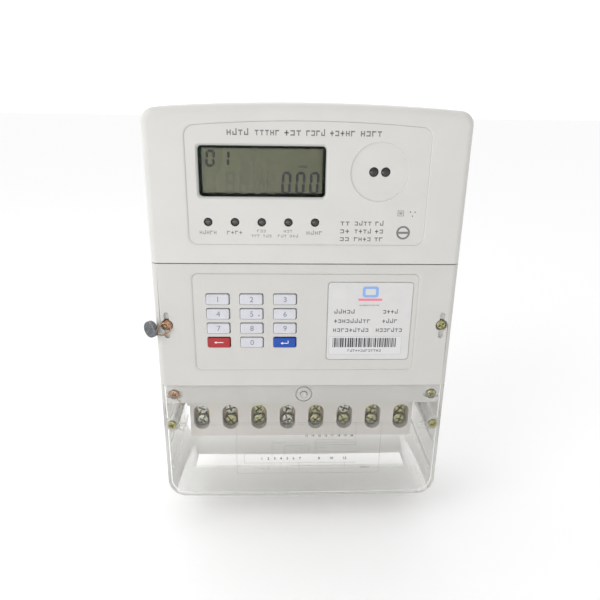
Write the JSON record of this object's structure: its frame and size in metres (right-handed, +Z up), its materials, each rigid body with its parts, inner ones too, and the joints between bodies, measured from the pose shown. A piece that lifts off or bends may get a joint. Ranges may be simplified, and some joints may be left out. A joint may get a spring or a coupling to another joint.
{
  "type": "prepaid electricity meter",
  "caption": "Wall-mounted three-phase keypad electricity meter with display, optical port, sealed covers and a clear terminal cover over screw terminals.",
  "frame": {"origin": "middle of the rear case's flat back face, where the meter lies on the wall", "axes": "+Z up along the wall, +X to the viewer's right, +Y into the wall; the front faces -Y"},
  "size_m": [0.1837, 0.0824, 0.249],
  "materials": {
    "cover_plastic": "fine satin moulding, warm white",
    "keypad_plastic": "fine satin moulding, warm light grey",
    "base_plastic": "spark-eroded texture, light grey",
    "clear_plastic": "clear polycarbonate, glossy",
    "display": "reflective liquid crystal, grey green",
    "lamp_plastic": "smoked lens",
    "steel": "zinc-plated sheet",
    "dark_lens": "infrared-passing black",
    "circuit_board": "green solder mask",
    "relay_plastic": "black moulding",
    "keypad_rubber": "silicone rubber",
    "label_film": "printed polyester film",
    "copper_screw": "coppery plated screw",
    "zinc_screw": "yellow-green passivated zinc",
    "block_plastic": "glass-filled moulding, warm grey",
    "clamp_brass": "plated brass",
    "button_plastic": "light grey moulding",
    "lead": "cast lead, hatched by the crimping dies",
    "seal_copper": "bare copper wire",
    "key_white": "hard keycap, cool white",
    "key_red": "hard keycap, red",
    "key_blue": "hard keycap, blue"
  },
  "bodies": {
    "case": {"rear_case": "base_plastic", "front_case": "cover_plastic", "display_window": "clear_plastic", "display_panel": "display", "light_guide": "lamp_plastic", "optical_plate": "steel", "optical_lens": "dark_lens", "main_board": "circuit_board", "load_relay": "relay_plastic", "keypad_board": "circuit_board", "keypad_mat": "keypad_rubber", "keypad_cover": "keypad_plastic", "rating_label": "label_film", "keypad_cover_screw_left": "copper_screw", "keypad_cover_screw_right": "zinc_screw", "case_screw_left": "copper_screw", "case_screw_right": "zinc_screw", "terminal_block": "block_plastic", "seal_disc": "lead", "seal_wire": "seal_copper", "neutral_link": "clamp_brass", "phase_clamp_1": "clamp_brass", "phase_clamp_2": "clamp_brass", "phase_clamp_3": "clamp_brass", "phase_clamp_4": "clamp_brass", "phase_clamp_5": "clamp_brass", "phase_clamp_6": "clamp_brass", "terminal_screw_1_upper": "zinc_screw", "terminal_screw_1_lower": "zinc_screw", "terminal_screw_2_upper": "zinc_screw", "terminal_screw_2_lower": "zinc_screw", "terminal_screw_3_upper": "zinc_screw", "terminal_screw_3_lower": "zinc_screw", "terminal_screw_4_upper": "zinc_screw", "terminal_screw_4_lower": "zinc_screw", "terminal_screw_5_upper": "zinc_screw", "terminal_screw_5_lower": "zinc_screw", "terminal_screw_6_upper": "zinc_screw", "terminal_screw_6_lower": "zinc_screw", "terminal_screw_7_upper": "zinc_screw", "terminal_screw_7_lower": "zinc_screw", "terminal_screw_8_upper": "zinc_screw", "terminal_screw_8_lower": "zinc_screw"},
    "terminal_cover": {"terminal_cover": "clear_plastic", "terminal_cover_screw_left": "zinc_screw", "terminal_cover_screw_right": "zinc_screw"},
    "hanging_hook": {"hanging_hook": "steel"},
    "cover_switch_button": {"cover_switch_button": "button_plastic"},
    "key_1": {"key_1": "key_white"},
    "key_2": {"key_2": "key_white"},
    "key_3": {"key_3": "key_white"},
    "key_4": {"key_4": "key_white"},
    "key_5": {"key_5": "key_white"},
    "key_6": {"key_6": "key_white"},
    "key_7": {"key_7": "key_white"},
    "key_8": {"key_8": "key_white"},
    "key_9": {"key_9": "key_white"},
    "key_delete": {"key_delete": "key_red"},
    "key_0": {"key_0": "key_white"},
    "key_enter": {"key_enter": "key_blue"}
  },
  "joints": [
    {"name": "terminal_cover_off", "type": "slide", "parent": "case", "child": "terminal_cover", "axis": [0, -1, 0], "range_m": [0, 0.085]},
    {"name": "hanging_hook_lift", "type": "slide", "parent": "case", "child": "hanging_hook", "axis": [0, 0, 1], "range_m": [0, 0.018]},
    {"name": "cover_switch_press", "type": "slide", "parent": "case", "child": "cover_switch_button", "axis": [0, 1, 0], "range_m": [0, 0.0015], "stiffness_N_per_m": 400},
    {"name": "key_1_press", "type": "slide", "parent": "case", "child": "key_1", "axis": [0, 1, 0], "range_m": [0, 0.001], "stiffness_N_per_m": 600},
    {"name": "key_2_press", "type": "slide", "parent": "case", "child": "key_2", "axis": [0, 1, 0], "range_m": [0, 0.001], "stiffness_N_per_m": 600},
    {"name": "key_3_press", "type": "slide", "parent": "case", "child": "key_3", "axis": [0, 1, 0], "range_m": [0, 0.001], "stiffness_N_per_m": 600},
    {"name": "key_4_press", "type": "slide", "parent": "case", "child": "key_4", "axis": [0, 1, 0], "range_m": [0, 0.001], "stiffness_N_per_m": 600},
    {"name": "key_5_press", "type": "slide", "parent": "case", "child": "key_5", "axis": [0, 1, 0], "range_m": [0, 0.001], "stiffness_N_per_m": 600},
    {"name": "key_6_press", "type": "slide", "parent": "case", "child": "key_6", "axis": [0, 1, 0], "range_m": [0, 0.001], "stiffness_N_per_m": 600},
    {"name": "key_7_press", "type": "slide", "parent": "case", "child": "key_7", "axis": [0, 1, 0], "range_m": [0, 0.001], "stiffness_N_per_m": 600},
    {"name": "key_8_press", "type": "slide", "parent": "case", "child": "key_8", "axis": [0, 1, 0], "range_m": [0, 0.001], "stiffness_N_per_m": 600},
    {"name": "key_9_press", "type": "slide", "parent": "case", "child": "key_9", "axis": [0, 1, 0], "range_m": [0, 0.001], "stiffness_N_per_m": 600},
    {"name": "key_delete_press", "type": "slide", "parent": "case", "child": "key_delete", "axis": [0, 1, 0], "range_m": [0, 0.001], "stiffness_N_per_m": 600},
    {"name": "key_0_press", "type": "slide", "parent": "case", "child": "key_0", "axis": [0, 1, 0], "range_m": [0, 0.001], "stiffness_N_per_m": 600},
    {"name": "key_enter_press", "type": "slide", "parent": "case", "child": "key_enter", "axis": [0, 1, 0], "range_m": [0, 0.001], "stiffness_N_per_m": 600}
  ]
}
